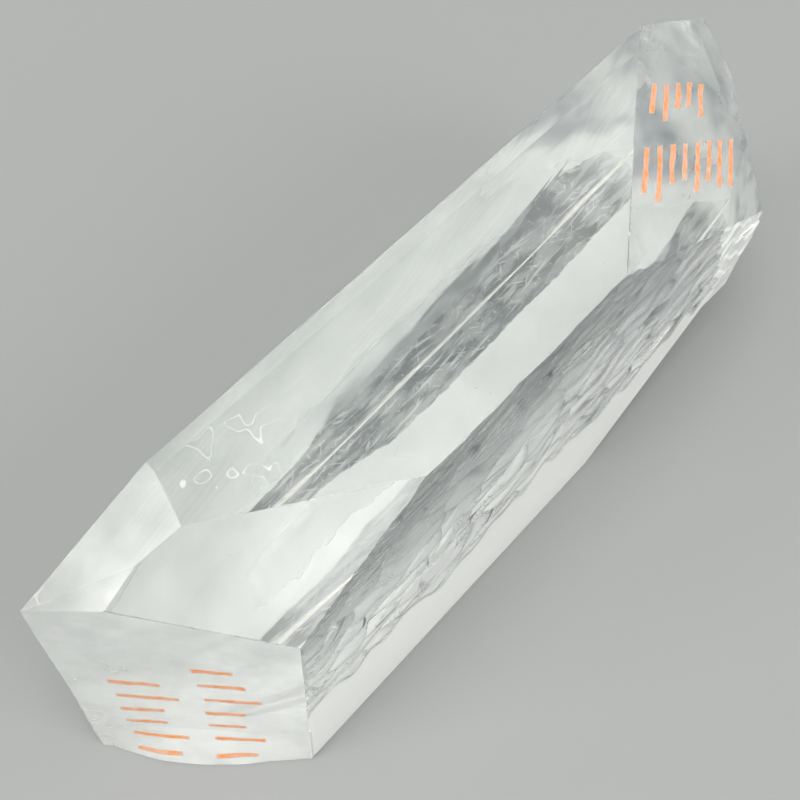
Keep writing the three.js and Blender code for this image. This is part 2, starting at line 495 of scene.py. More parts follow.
def footBlock():
    # A closed block: a grid over the way along the near end and the height, standing out by
    # the swell times a sine along the end times a falling power of the height, and a flat back.
    cellsAlong, cellsUp = foot["cells"]
    placesAlong = np.linspace(0, 1, cellsAlong + 1)
    along, up = np.meshgrid(placesAlong, np.linspace(0, 1, cellsUp + 1), indexing="ij")
    stand = foot["swell"] * np.sin(np.pi * along ** foot["skew"]) ** foot["fullness"]
    stand = stand * (1 - up) ** foot["fall"] - foot["sink"]
    ripple = foot["ripple"] * np.sin(along * foot["rippleAlong"])
    ripple = ripple * np.sin(up * foot["rippleUp"] + along * foot["rippleSlant"])
    stand = stand + ripple * (1 - up) * np.sin(np.pi * along)
    across = np.array((out, side, 0.0))
    outward = np.array((-side, out, 0.0))
    start = np.array(corner) + across * foot["inset"]
    place = start + along[..., None] * across * foot["width"]
    height = up[..., None] * (foot["height"] + foot["below"]) - foot["below"]
    place = place + np.array((0, 0, 1.0)) * height
    outer = (place + stand[..., None] * outward).reshape(-1, 3)
    inner = (place - foot["depth"] * outward).reshape(-1, 3)
    index = np.arange(along.size).reshape(along.shape)
    rim = gridRim(index)
    rimFaces = np.stack([np.roll(rim, -1), rim, rim + along.size, np.roll(rim, -1) + along.size], axis=-1)
    faces = np.concatenate([gridFaces(index), gridFaces(index)[:, ::-1] + along.size, rimFaces])
    return np.concatenate([outer, inner]).tolist(), faces.tolist()


def cutMesh(mesh, cuts):
    # several flat cuts one after another
    shape = bmesh.new()
    shape.from_mesh(mesh)
    for normal, reach in cuts:
        cutFlat(shape, normal, reach)
    shape.to_mesh(mesh)
    shape.free()
    return mesh


def makeCrystal():
    # the slab is cut by the near end and the undercut, gets its foot and steps, and is cut by
    # the other flat faces; last its edges are worn
    mesh = slabBetweenFaces()
    print("slab", len(mesh.polygons))
    mesh = cutMesh(mesh, [flats["nearEnd"], flats["underCut"]])
    mesh = joinBlock(mesh, *footBlock(), rounded=True)
    for chunk in chunks:
        mesh = joinBlock(mesh, boxPoints(*chunk), boxFaces)
    print("foot and steps joined", len(mesh.polygons))
    later = ["farEnd", "farCut", "farSlope", "nearSlope", "shoulder", "lowShoulder"]
    later = later + ["top", "band", "underside"]
    mesh = cutMesh(mesh, [flats[name] for name in later])
    mesh = cutMesh(mesh, [wornFlat(*edge) for edge in wornEdges])
    mesh.name = "crystalSurface"
    print("crystal", len(mesh.polygons))
    return addObject("crystalBody", mesh)


crystal = makeCrystal()


def setInput(tree, node, slot, value):
    # links a socket to a node's input, or sets a plain value there
    if isinstance(value, bpy.types.NodeSocket):
        tree.links.new(value, node.inputs[slot])
    else:
        node.inputs[slot].default_value = value


def addNode(tree, kind, inputs, **settings):
    # a new node with its settings made and its inputs linked or set
    node = tree.nodes.new(kind)
    for name, value in settings.items():
        setattr(node, name, value)
    for slot, value in inputs.items():
        setInput(tree, node, slot, value)
    return node


def mathNode(tree, operation, *values, clamp=False):
    # a Math node on sockets or plain numbers
    inputs = dict(enumerate(values))
    return addNode(tree, "ShaderNodeMath", inputs, operation=operation, use_clamp=clamp).outputs[0]


def multiply(tree, *values):
    # sockets and plain numbers multiplied, from the first one on
    return functools.reduce(lambda total, value: mathNode(tree, "MULTIPLY", total, value), values)


def greatest(tree, *values):
    # the greatest of several sockets
    return functools.reduce(lambda total, value: mathNode(tree, "MAXIMUM", total, value), values)


def rest(tree, share):
    # what a share leaves
    return mathNode(tree, "SUBTRACT", 1.0, share)


def apart(tree, value, middle):
    # how far a value is from a middle one
    return mathNode(tree, "ABSOLUTE", mathNode(tree, "SUBTRACT", value, middle))


def variedShare(tree, share, variation):
    # 1 where the share is 1, less by the variation where it is 0
    return mathNode(tree, "MULTIPLY_ADD", share, variation, 1 - variation)


def rampDown(tree, value, start, end):
    # 1 up to start, 0 from end on, smooth between; end may also be the lower of the two
    inputs = {"Value": value, "From Min": start, "From Max": end, "To Min": 1, "To Max": 0}
    return addNode(tree, "ShaderNodeMapRange", inputs, interpolation_type="SMOOTHSTEP").outputs["Result"]


def distanceAlong(tree, position, direction, start):
    # how far the position lies along a direction, past a start point
    node = addNode(tree, "ShaderNodeVectorMath", {0: position, 1: direction}, operation="DOT_PRODUCT")
    return mathNode(tree, "SUBTRACT", node.outputs["Value"], Vector(direction).dot(start))


def noiseAt(tree, position, scale, detail, stretch=None, turn=None):
    # smooth noise from 0 to 1, turned about Z in degrees and then stretched where asked
    if turn:
        turned = {"Vector": position, "Rotation": (0, 0, math.radians(turn))}
        position = addNode(tree, "ShaderNodeMapping", turned).outputs["Vector"]
    if stretch:
        stretched = {"Vector": position, "Scale": stretch}
        position = addNode(tree, "ShaderNodeMapping", stretched).outputs["Vector"]
    noise = {"Vector": position, "Scale": scale, "Detail": detail}
    return addNode(tree, "ShaderNodeTexNoise", noise).outputs["Fac"]


def centredNoise(tree, position, noise):
    # noise from -0.5 to 0.5
    return mathNode(tree, "SUBTRACT", noiseAt(tree, position, *noise), 0.5)


def noiseShare(tree, position, noise, edge):
    # 1 where a noise is on the first edge's side, 0 on the second one's, smooth between
    return rampDown(tree, noiseAt(tree, position, *noise), *edge)


mixColorInputs = (6, 7)     # places of the two colours and of the mixed one on a Mix node
mixColorOutput = 2


def mixColor(tree, factor, first, second):
    # the first colour where the factor is 0, the second where it is 1
    node = addNode(tree, "ShaderNodeMix", {"Factor": factor}, data_type="RGBA")
    for slot, value in zip(mixColorInputs, (first, second)):
        setInput(tree, node, slot, (*value, 1) if isinstance(value, tuple) else value)
    return node.outputs[mixColorOutput]


def attributeValue(tree, name):
    # one of the numbers that markFront gives to each vertex
    node = tree.nodes.new("ShaderNodeAttribute")
    node.attribute_name = name
    return node.outputs["Fac"]


def newMaterial(name):
    # a quartz material with nothing set but its refraction, and its coordinates
    material = bpy.data.materials.new(name)
    material.use_nodes = True
    tree = material.node_tree
    shader = tree.nodes["Principled BSDF"]
    shader.inputs["IOR"].default_value = quartz["refraction"]
    position = tree.nodes.new("ShaderNodeTexCoord").outputs["Object"]
    return material, tree, shader, position


def dress(tree, shader, color, clearShare, rough):
    # the shader's colour, the share that lets light through, and its roughness
    setInput(tree, shader, "Base Color", color)
    setInput(tree, shader, "Transmission Weight", clearShare)
    setInput(tree, shader, "Roughness", rough)


def addBump(tree, shader, height, distance, strength):
    # fine relief in the light alone
    bump = addNode(tree, "ShaderNodeBump", {"Height": height, "Distance": distance, "Strength": strength})
    tree.links.new(bump.outputs["Normal"], shader.inputs["Normal"])


# In these dictionaries a noise is its scale, its detail, its stretch and its turn in degrees. An
# edge is the two values between which something fades from full to nothing, and a rise the two
# between which it grows from nothing to full.
quartz = {
    "refraction": 1.544,
    "clear": (0.975, 0.985, 0.97),
    "hazeColor": (0.93, 0.945, 0.925),
    "haze": 0.10,               # share of white haze where it is strongest
    "nearHaze": 0.56,           # the same on the near end and the slopes beside it
    "nearBase": 0.32,           # least haze of the near end, and of the slopes beside it
    "slopeHaze": 0.22,
    "slopeBase": 0.10,
    "backHaze": 0.05,
    "patches": ((28.0, 4.0), (0.72, 0.42)),
    "mottling": ((150.0, 6.0), (0.66, 0.36)),
    "mottle": 0.03,             # what fine mottling adds
    "speckScale": 260.0,
    "speckEdge": (0.02, 0.06),
    "speck": 0.3,               # share of haze in a speck
}


def milkyShare(tree, position, strength, base=0.0):
    # soft milky patches and fine specks, returned as the share that isn't clear
    patches = noiseShare(tree, position, *quartz["patches"])
    patches = mathNode(tree, "MULTIPLY_ADD", patches, strength - base, base)
    mottled = noiseShare(tree, position, *quartz["mottling"])
    patches = mathNode(tree, "MULTIPLY_ADD", mottled, quartz["mottle"], patches)
    specks = addNode(tree, "ShaderNodeTexVoronoi", {"Vector": position, "Scale": quartz["speckScale"]})
    dots = rampDown(tree, specks.outputs["Distance"], *quartz["speckEdge"])
    return greatest(tree, patches, multiply(tree, dots, quartz["speck"]))


contours = {
    "strength": 0.24,
    "noise": (170.0, 1.0),      # small closed loops, where this noise passes this level
    "level": 0.60,
    "lineEdge": (0.0044, 0.011),
    "alongEdge": (0.016, 0.050),    # they fade along the bar between these places
    "patches": ((42.0, 2.0, (1.0, 1.3, 1.0)), (0.50, 0.42)),
}


def growthContours(tree, position):
    # fine closed lines round small growth pits, in patches near the near end
    fromLevel = apart(tree, noiseAt(tree, position, *contours["noise"]), contours["level"])
    line = rampDown(tree, fromLevel, *contours["lineEdge"])
    near = rampDown(tree, distanceAlong(tree, position, (1, 0, 0), corner), *contours["alongEdge"])
    patch = noiseShare(tree, position, *contours["patches"])
    return multiply(tree, line, near, patch, contours["strength"])


marker = {
    "ink": (0.80, 0.25, 0.045),
    "cover": 0.94,
    "rough": 0.45,
    "wanderNoise": (130.0, 1.0),
    "wander": 0.0022,           # how far a stroke's line wanders
    "strokeEdge": (0.000825, 0.001265),     # half width of a stroke
    "shift": 0.003,             # range of a stroke's own shift, and most share it is shortened by
    "shorten": 0.35,
    "tipEdge": (-0.0003, 0.0004),
    "wearNoise": (420.0, 3.0),
    "wear": 0.9,                # what the wear's noise adds to the least ink
    "least": 0.4,
    "farSlant": 0.93,           # rise of the far slope's strokes
}

nearStrokes = [
    # rows of plain strokes: the way the rows are counted, their spacing, first and last row,
    # the way a stroke runs, and where it starts and ends
    {"count": (0, 0, 1), "spacing": 0.0088, "from": 0.0075, "to": 0.0605,
     "run": (out, side, 0), "start": 0.0115, "end": 0.0235},
    {"count": (0, 0, 1), "spacing": 0.0086, "from": 0.0070, "to": 0.0500,
     "run": (out, side, 0), "start": 0.0290, "end": 0.0420},
]

slopeAcross = Vector((0, 0, 1)).cross(Vector((half, out, tall))).normalized()
slopeUp = Vector((half, out, tall)).normalized().cross(slopeAcross)
slopeRun = slopeAcross + slopeUp * marker["farSlant"]
farStrokes = [
    {"count": tuple(slopeUp), "spacing": 0.0052, "from": 0.0070, "to": 0.0280,
     "run": tuple(slopeRun), "start": 0.159, "end": 0.171},
    {"count": tuple(slopeUp), "spacing": 0.0054, "from": -0.0095, "to": 0.0280,
     "run": tuple(slopeRun), "start": 0.134, "end": 0.151},
]


def strokeRows(tree, position, wander, group):
    # 1 inside the pen strokes of one group: near the middle of a row, and short of the two ends,
    # which a number of the row's own shifts and draws in
    counted = distanceAlong(tree, position, group["count"], corner)
    row = mathNode(tree, "MULTIPLY_ADD", wander, marker["wander"], counted)
    row = mathNode(tree, "DIVIDE", row, group["spacing"])
    fromMiddle = apart(tree, mathNode(tree, "FRACT", row), 0.5)
    line = rampDown(tree, multiply(tree, fromMiddle, group["spacing"]), *marker["strokeEdge"])
    number = {"W": mathNode(tree, "FLOOR", row)}
    own = addNode(tree, "ShaderNodeTexWhiteNoise", number, noise_dimensions="1D").outputs["Value"]
    run = distanceAlong(tree, position, group["run"], corner)
    halfRun = (group["end"] - group["start"]) / 2
    fromCentre = mathNode(tree, "SUBTRACT", run, (group["start"] + group["end"]) / 2)
    shift = mathNode(tree, "MULTIPLY_ADD", own, marker["shift"], -marker["shift"] / 2)
    fromCentre = apart(tree, fromCentre, shift)
    reach = mathNode(tree, "MULTIPLY_ADD", own, -marker["shorten"] * halfRun, halfRun)
    within = rampDown(tree, mathNode(tree, "SUBTRACT", fromCentre, reach), *marker["tipEdge"])
    above = mathNode(tree, "GREATER_THAN", counted, group["from"] - group["spacing"] / 2)
    below = mathNode(tree, "LESS_THAN", counted, group["to"] + group["spacing"] / 2)
    return multiply(tree, line, within, above, below)


def strokeMask(tree, position, groups):
    # 1 inside any of the pen strokes, less where they are worn
    wander = centredNoise(tree, position, marker["wanderNoise"])
    total = greatest(tree, *(strokeRows(tree, position, wander, group) for group in groups))
    wear = noiseAt(tree, position, *marker["wearNoise"])
    wear = mathNode(tree, "MULTIPLY_ADD", wear, marker["wear"], marker["least"], clamp=True)
    return multiply(tree, total, wear)


def clearQuartz(name, strength, base=0.0, strokes=None, grown=False):
    # clear quartz mixed with white haze by the milky share, with growth lines on a grown face,
    # and with ink over it where there are pen strokes
    material, tree, shader, position = newMaterial(name)
    cloudy = milkyShare(tree, position, strength, base)
    if grown:
        cloudy = greatest(tree, cloudy, growthContours(tree, position))
    color = mixColor(tree, cloudy, quartz["clear"], quartz["hazeColor"])
    solid = cloudy
    rough = 0.0
    if strokes:
        ink = strokeMask(tree, position, strokes)
        color = mixColor(tree, ink, color, marker["ink"])
        solid = greatest(tree, cloudy, multiply(tree, ink, marker["cover"]))
        rough = multiply(tree, ink, marker["rough"])
    dress(tree, shader, color, rest(tree, solid), rough)
    return material


backFace = {
    # the tint is painted shade of what is seen through the back face
    "paintedShadeTint": (0.52, 0.58, 0.63),
    "hazeColor": (0.97, 0.98, 0.965),
    "haze": 0.36,               # milky zone of the back face, between two heights and two places
    "lowEdge": (0.0221, 0.0213),
    "highEdge": (0.0325, 0.0475),
    "nearEdge": (0.039, 0.009),
    "farEdge": (0.092, 0.132),
    "tearNoise": (115.0, 6.0, (1.0, 1.0, 0.6)),
    "tear": 0.022,              # raggedness of its lower border, and waviness of its upper one
    "driftNoise": (30.0, 4.0),
    "drift": 0.030,
}


def backQuartz():
    # the grown back face: clear quartz tinted grey-blue as painted shade of what is seen through it,
    # with a milky zone that has a torn lower border
    material, tree, shader, position = newMaterial("backQuartz")
    height = distanceAlong(tree, position, (0, 0, 1), corner)
    along = distanceAlong(tree, position, (1, 0, 0), corner)
    torn = centredNoise(tree, position, backFace["tearNoise"])
    torn = mathNode(tree, "MULTIPLY_ADD", torn, backFace["tear"], height)
    drift = centredNoise(tree, position, backFace["driftNoise"])
    drift = mathNode(tree, "MULTIPLY_ADD", drift, backFace["drift"], height)
    upright = multiply(
        tree, rampDown(tree, torn, *backFace["lowEdge"]), rampDown(tree, drift, *backFace["highEdge"]),
    )
    lengthwise = multiply(
        tree, rampDown(tree, along, *backFace["nearEdge"]), rampDown(tree, along, *backFace["farEdge"]),
    )
    zone = multiply(tree, upright, lengthwise, backFace["haze"])
    solid = greatest(tree, zone, milkyShare(tree, position, quartz["backHaze"]))
    color = mixColor(tree, solid, backFace["paintedShadeTint"], backFace["hazeColor"])
    dress(tree, shader, color, rest(tree, solid), 0.0)
    return material


cobbleTone = {
    # colour of the painted shade (dark sides, grooves, the zone under the ridge) and of the growth and hair
    # lines
    "dark": (0.020, 0.026, 0.034),
    "ownLow": 0.10,             # darkest random cobble near the low near end, and far or high up as painted shade
    "ownHigh": 0.26,
    "tonePower": 1.6,           # above 1 few cobbles are as dark as that
    "probe": 0.0002,            # step over which a cobble's slope is taken
    "steepRise": (0.18, 0.62),  # slopes between which it counts as steep
    "slopeUp": 0.62,            # how much its slope up the face and along the bar lightens it: painted light
    "slopeAlong": 0.34,
    "lightRise": (-0.15, 0.85),
    "slopeShade": 0.12,         # painted shade of its dark side, and what the flank beside a groove adds
    "flankShade": 0.74,
    "flankWidth": 0.20,
    "slopePower": 1.2,
    "slopeMost": 0.97,
    "slopeLow": 0.65,           # share of that painted shade near the low near end, and what is added
    "slopeHigh": 0.55,          # far or high up
    "drift": [(0.004, 95.0, 0.0, 0.0), (0.0025, 260.0, 0.0, 1.0)],
    "ridgeZone": 0.0690,        # streaked zone of painted shade under the ridge: its foot, how it comes in, its shade
    "ridgeFade": 0.014,
    "ridgeShade": 0.60,
    "ridgeMean": 0.85,
    "ridgeWaves": [(0.15, 130.0, 0.0, (3.0, 0.0, 200.0, 0.0))],
    "ridgeTone": 0.3,           # share of that shade that differs from cobble to cobble
    "frost": 0.80,              # white haze of the smooth low part
    "cobbleFrost": 0.92,        # share of that haze on the lowest cobbles, fading up the face
    "frostRise": (0.046, 0.092),
    "frostDrift": 0.3,
    "frostStep": 0.004,         # difference in height of its end from cobble to cobble
    "farFrost": 0.24,           # share by which it is less past these places
    "farRise": (0.080, 0.130),
    "frostLight": 0.52,         # shares of it that follow a cobble's painted light and its own number
    "frostTone": 0.15,
    "groove": 0.97,             # painted shade in the grooves
    "grooveEdge": (0.006, 0.042),   # heights above the next cobble between which it fades
    "grooveNoise": ((85.0, 3.0), (0.58, 0.40)),
    "grooveUneven": 0.55,       # share of it that this noise, and the cobbles' steepness, take away
    "grooveSteep": 0.50,
    "growthLines": 17.0,        # growth lines over the whole height of the relief
    "growthLine": 0.55,         # darkness of these lines
    "growthNoise": (140.0, 2.0),
    "growthWander": 1.6,
    "growthEdge": (0.04, 0.17),
    "growthPatches": ((120.0, 2.0, (0.8, 1.0, 1.2)), (0.56, 0.47)),
    "hair": 0.85,               # darkness of the hair lines along the bar, drawn only in the painted shade under the ridge
    "hairNoise": (300.0, 3.0, (0.14, 1.0, 1.7)),
    "hairEdge": (0.57, 0.52),
    "lowEdge": (0.82, 0.95),    # frost between which both kinds of line end
    "growthRelief": -0.8,       # bump of the growth lines beside the hair lines'
    "bumpDistance": 0.00006,
    "bumpStrength": 0.5,
}


def markFront(mesh):
    # Each vertex of the front face gets its gap to the next cobble, its cobble's height, how steep
    # it is there, its share of the painted shade under the ridge, its painted shade from 0 to 1 (its
    # cobble's own number, more on the sides that face up and away and beside a groove, and more
    # under the ridge), and its share of frost, more on each cobble's painted lit side.
    places = np.empty(len(mesh.vertices) * 3)
    mesh.vertices.foreach_get("co", places)
    places = places.reshape(-1, 3) - np.array(corner)
    front = np.flatnonzero(places[:, 1] < cobbles["depth"] + cobbleTone["probe"])
    x = places[front, 0]
    z = places[front, 2]
    height, gap, tone = cobbleField(x, z)
    probe = cobbleTone["probe"]
    near = nearShare(x, z)
    alongSlope = (cobbleField(x + probe, z)[0] - height) / probe * cobbles["length"]
    upSlope = (cobbleField(x, z + probe)[0] - height) / probe * cobbles["rise"]
    alongSlope = alongSlope - cobbles["lean"] - cobbles["nearLean"] * near
    upSlope = upSlope - cobbles["nod"] - cobbles["nearNod"] * near
    # painted light: a cobble is lighter on the sides that face down and towards the near end, by its slope
    light = 0.5 + cobbleTone["slopeUp"] * upSlope + cobbleTone["slopeAlong"] * alongSlope
    light = easeUp(light, *cobbleTone["lightRise"])
    # painted shade on its other sides, most on the flank beside a groove
    flank = 1 - easeUp(gap, 0.0, cobbleTone["flankWidth"])
    sloped = cobbleTone["slopeShade"] + cobbleTone["flankShade"] * flank
    sloped = np.minimum(sloped * (1 - light) ** cobbleTone["slopePower"], cobbleTone["slopeMost"])
    sloped = sloped * (cobbleTone["slopeLow"] + cobbleTone["slopeHigh"] * (1 - near))
    own = cobbleTone["ownLow"] + (cobbleTone["ownHigh"] - cobbleTone["ownLow"]) * (1 - near)
    drift = addWaves(0.0, x, z, cobbleTone["drift"])
    # painted shade in a streaked zone under the ridge
    zone = easeUp(z + drift, cobbleTone["ridgeZone"], cobbleTone["ridgeZone"] + cobbleTone["ridgeFade"])
    zone = zone * cobbleTone["ridgeShade"] * addWaves(cobbleTone["ridgeMean"], x, z, cobbleTone["ridgeWaves"])
    shade = own * tone ** cobbleTone["tonePower"] + sloped
    shade = np.maximum(shade, zone * partly(tone, cobbleTone["ridgeTone"]))
    # white frost low down, more of it on each cobble's painted lit side
    frosted = z - cobbleTone["frostDrift"] * drift + cobbleTone["frostStep"] * tone
    frost = cobbleTone["cobbleFrost"] * (1 - easeUp(frosted, *cobbleTone["frostRise"]))
    frost = frost * (1 - cobbleTone["farFrost"] * easeUp(x, *cobbleTone["farRise"]))
    frost = frost * partly(light, cobbleTone["frostLight"]) * partly(tone, cobbleTone["frostTone"])
    away = 1 - ledgeShare(x, z)
    cobbled = lowShare(x, z) * away
    values = {
        "gap": gap + (1 - cobbled),
        "rise": height,
        "steep": easeUp(np.hypot(alongSlope, upSlope), *cobbleTone["steepRise"]),
        "ridge": zone * away,
        "shade": shade * cobbled,
        "low": np.maximum((1 - lowShare(x, z)) * away, frost * cobbled),
    }
    for name, value in values.items():
        everywhere = np.full(len(places), 1.0 if name == "gap" else 0.0)
        everywhere[front] = value
        mesh.attributes.new(name, "FLOAT", "POINT").data.foreach_set("value", everywhere)


def growthLines(tree, position, steep):
    # dark lines where the relief's height, times the number of lines and shifted by a noise,
    # passes a whole number and a half, in patches and on steep sides
    level = multiply(tree, attributeValue(tree, "rise"), cobbleTone["growthLines"])
    stray = noiseAt(tree, position, *cobbleTone["growthNoise"])
    level = mathNode(tree, "MULTIPLY_ADD", stray, cobbleTone["growthWander"], level)
    fromLine = apart(tree, mathNode(tree, "FRACT", level), 0.5)
    patches = noiseShare(tree, position, *cobbleTone["growthPatches"])
    patches = multiply(tree, patches, cobbleTone["growthLine"])
    return multiply(tree, rampDown(tree, fromLine, *cobbleTone["growthEdge"]), patches, steep)


def cobbledQuartz():
    # the grown front face: clear quartz, darkened by the most of its cobbles' painted shade, the
    # painted shade in its grooves, growth lines and the hair lines along the bar, with white frost low down
    material, tree, shader, position = newMaterial("cobbledQuartz")
    steep = attributeValue(tree, "steep")
    low = attributeValue(tree, "low")
    # painted shade in the grooves between cobbles
    groove = rampDown(tree, attributeValue(tree, "gap"), *cobbleTone["grooveEdge"])
    uneven = noiseShare(tree, position, *cobbleTone["grooveNoise"])
    groove = multiply(tree, groove, variedShare(tree, uneven, cobbleTone["grooveUneven"]))
    groove = multiply(tree, groove, variedShare(tree, steep, cobbleTone["grooveSteep"]), cobbleTone["groove"])
    growth = growthLines(tree, position, steep)
    lines = noiseAt(tree, position, *cobbleTone["hairNoise"])
    hair = rampDown(tree, lines, *cobbleTone["hairEdge"])
    # the hair lines follow the painted shade under the ridge
    hair = multiply(tree, hair, attributeValue(tree, "ridge"), cobbleTone["hair"])
    hatch = multiply(tree, greatest(tree, growth, hair), rampDown(tree, low, *cobbleTone["lowEdge"]))
    shade = greatest(tree, attributeValue(tree, "shade"), groove, hatch)
    color = mixColor(tree, low, quartz["clear"], quartz["hazeColor"])
    color = mixColor(tree, shade, color, cobbleTone["dark"])
    dress(tree, shader, color, rest(tree, multiply(tree, low, cobbleTone["frost"])), 0.0)
    relief = mathNode(tree, "MULTIPLY_ADD", growth, cobbleTone["growthRelief"], lines)
    addBump(tree, shader, relief, cobbleTone["bumpDistance"], cobbleTone["bumpStrength"])
    return material


underside = {
    "white": (0.94, 0.955, 0.93),
    "grey": (0.82, 0.845, 0.83),
    "brushing": ((70.0, 2.0, (2.6, 0.35, 1.0)), (0.58, 0.44)),
    "cloudNoise": (24.0, 3.0),
    "brushEdge": (0.60, 0.45),  # cloudiness where the brushed grey shows, and where all is grey
    "cloudEdge": (0.42, 0.20),
    "rough": 0.34,
    # the strip's two greys are painted shade of what is seen through it, darker in its streaks
    "dark": (0.55, 0.595, 0.61),
    "paleStripShade": (0.76, 0.795, 0.80),
    "stripClear": 0.86,         # share of the strip that lets light through, and its roughness
    "stripRough": 0.04,
    "stripEdge": (0.0089, 0.0096),  # width of the clear strip beside the back edge
    "wanderNoise": (55.0, 5.0),
    "wander": 0.0022,           # waviness of its long border, and of its two ends
    "endWander": 0.012,
    "tearNoise": (330.0, 4.0),
    "tear": 0.0012,
    "narrowing": 0.0048,        # how much narrower it is at its near end, up to these places
    "narrowEdge": (0.038, 0.066),
    "nearEdge": (0.020, 0.018),     # it begins and ends along the bar between these places
    "farEdge": (0.151, 0.171),
    "streakNoise": (320.0, 8.0, (0.3, 1.2, 1.0)),
    "streakEdge": (0.62, 0.40),
    "clearEdge": (0.66, 0.44),
    "streakClear": 0.35,        # share of its clearness that the streaks change
    "marks": [((900.0, 2.0), (0.70, 0.64)),     # specks, then scratches three ways
              ((1000.0, 2.0, (0.08, 1.0, 1.0), -4), (0.65, 0.57)),
              ((950.0, 2.0, (0.15, 1.0, 1.0), 35), (0.71, 0.62)),
              ((950.0, 2.0, (0.15, 1.0, 1.0), -30), (0.71, 0.62))],
    "mark": 0.52,               # their whiteness, and how much light that blocks
    "markBlock": 0.9,
}


def clearStrip(tree, position):
    # 1 inside the strip: near the back edge, and between its two ends, all of them wavy
    backWay = Vector((math.sin(taper), -math.cos(taper), 0))
    backEdge = corner + Vector((0, bar["thickness"], 0))
    fromEdge = distanceAlong(tree, position, tuple(backWay), backEdge)
    wander = centredNoise(tree, position, underside["wanderNoise"])
    torn = centredNoise(tree, position, underside["tearNoise"])
    along = distanceAlong(tree, position, (1, 0, 0), corner)
    narrow = rampDown(tree, along, *underside["narrowEdge"])
    fromEdge = mathNode(tree, "MULTIPLY_ADD", wander, underside["wander"], fromEdge)
    fromEdge = mathNode(tree, "MULTIPLY_ADD", torn, underside["tear"], fromEdge)
    fromEdge = mathNode(tree, "MULTIPLY_ADD", narrow, underside["narrowing"], fromEdge)
    along = mathNode(tree, "MULTIPLY_ADD", wander, underside["endWander"], along)
    started = rampDown(tree, along, *underside["nearEdge"])
    ended = rampDown(tree, along, *underside["farEdge"])
    return multiply(tree, rampDown(tree, fromEdge, *underside["stripEdge"]), multiply(tree, started, ended))


def frostedUnderside():
    # sawn and frosted white, with a see-through strip left along the back edge, tinted grey and
    # streaked dark there as painted shade of what is seen through it
    material, tree, shader, position = newMaterial("frostedUnderside")
    strip = clearStrip(tree, position)
    cloudy = noiseAt(tree, position, *underside["cloudNoise"])
    grey = noiseShare(tree, position, *underside["brushing"])
    grey = multiply(tree, grey, rampDown(tree, cloudy, *underside["brushEdge"]))
    grey = greatest(tree, grey, rampDown(tree, cloudy, *underside["cloudEdge"]))
    frosted = mixColor(tree, grey, underside["white"], underside["grey"])
    marks = greatest(tree, *(noiseShare(tree, position, *kind) for kind in underside["marks"]))
    marks = multiply(tree, marks, underside["mark"])
    # the strip's dark streaks: painted shade
    streaks = noiseAt(tree, position, *underside["streakNoise"])
    dark = rampDown(tree, streaks, *underside["streakEdge"])
    stripColor = mixColor(tree, dark, underside["paleStripShade"], underside["dark"])
    stripColor = mixColor(tree, marks, stripColor, underside["white"])
    clearer = rampDown(tree, streaks, *underside["clearEdge"])
    least = underside["stripClear"] - underside["streakClear"]
    clearShare = mathNode(tree, "MULTIPLY_ADD", clearer, underside["streakClear"], least)
    unmarked = mathNode(tree, "MULTIPLY_ADD", marks, -underside["markBlock"], 1.0)
    clearShare = multiply(tree, clearShare, unmarked, strip)
    smoother = underside["stripRough"] - underside["rough"]
    rough = mathNode(tree, "MULTIPLY_ADD", strip, smoother, underside["rough"])
    dress(tree, shader, mixColor(tree, strip, frosted, stripColor), clearShare, rough)
    return material


undercut = {
    # the grey-blue of the see-through patches is painted shade of what is seen through them
    "clear": (0.44, 0.50, 0.57),
    "clearShare": 0.66,
    "patches": ((34.0, 3.5), (0.48, 0.62)),
    "highEdge": (0.024, 0.038), # all white above the first pair of heights, and below the second
    "lowEdge": (0.009, 0.004),
    "wisps": ((300.0, 4.0, (0.5, 1.0, 1.4)), (0.70, 0.45)),
    "wisp": 0.3,                # share of a patch that white wisps take away
    "rough": 0.28,
}


def etchedUndercut():
    # the undercut far facet: soft grey see-through patches in white, their grey-blue a painted shade
    # of what is seen through them, whiter at its top and foot
    material, tree, shader, position = newMaterial("etchedUndercut")
    height = distanceAlong(tree, position, (0, 0, 1), corner)
    between = rampDown(tree, height, *undercut["highEdge"])
    between = multiply(tree, between, rampDown(tree, height, *undercut["lowEdge"]))
    wisps = noiseShare(tree, position, *undercut["wisps"])
    patch = multiply(
        tree, noiseShare(tree, position, *undercut["patches"]), between,
        variedShare(tree, wisps, undercut["wisp"]),
    )
    color = mixColor(tree, patch, underside["white"], undercut["clear"])
    dress(tree, shader, color, multiply(tree, patch, undercut["clearShare"]), undercut["rough"])
    return material


bruiseAndHighlight = {
    # white of a bruised edge, which is also its painted highlight
    "white": (0.98, 0.965, 0.90),
    "grey": (0.88, 0.885, 0.85),
    "noise": (300.0, 3.0),
    "rough": 0.4,
}


def bruisedHighlightEdge():
    # the bruised lower back edge, white all along, as bruising and as a painted highlight of the edge
    material, tree, shader, position = newMaterial("bruisedHighlightEdge")
    color = mixColor(tree, noiseAt(tree, position, *bruiseAndHighlight["noise"]), bruiseAndHighlight["white"], bruiseAndHighlight["grey"])
    dress(tree, shader, color, 0.0, bruiseAndHighlight["rough"])
    return material


broken = {
    "white": (0.97, 0.98, 0.965),
    "grey": (0.90, 0.92, 0.90),
    "noise": (90.0, 4.0),
    "clear": 0.75,              # share that lets light through, and what the noise takes from it
    "cloud": 0.8,
    "rough": 0.22,
    "bumpNoise": (240.0, 4.0),
    "bumpDistance": 0.0004,
    "bumpStrength": 1.0,
}


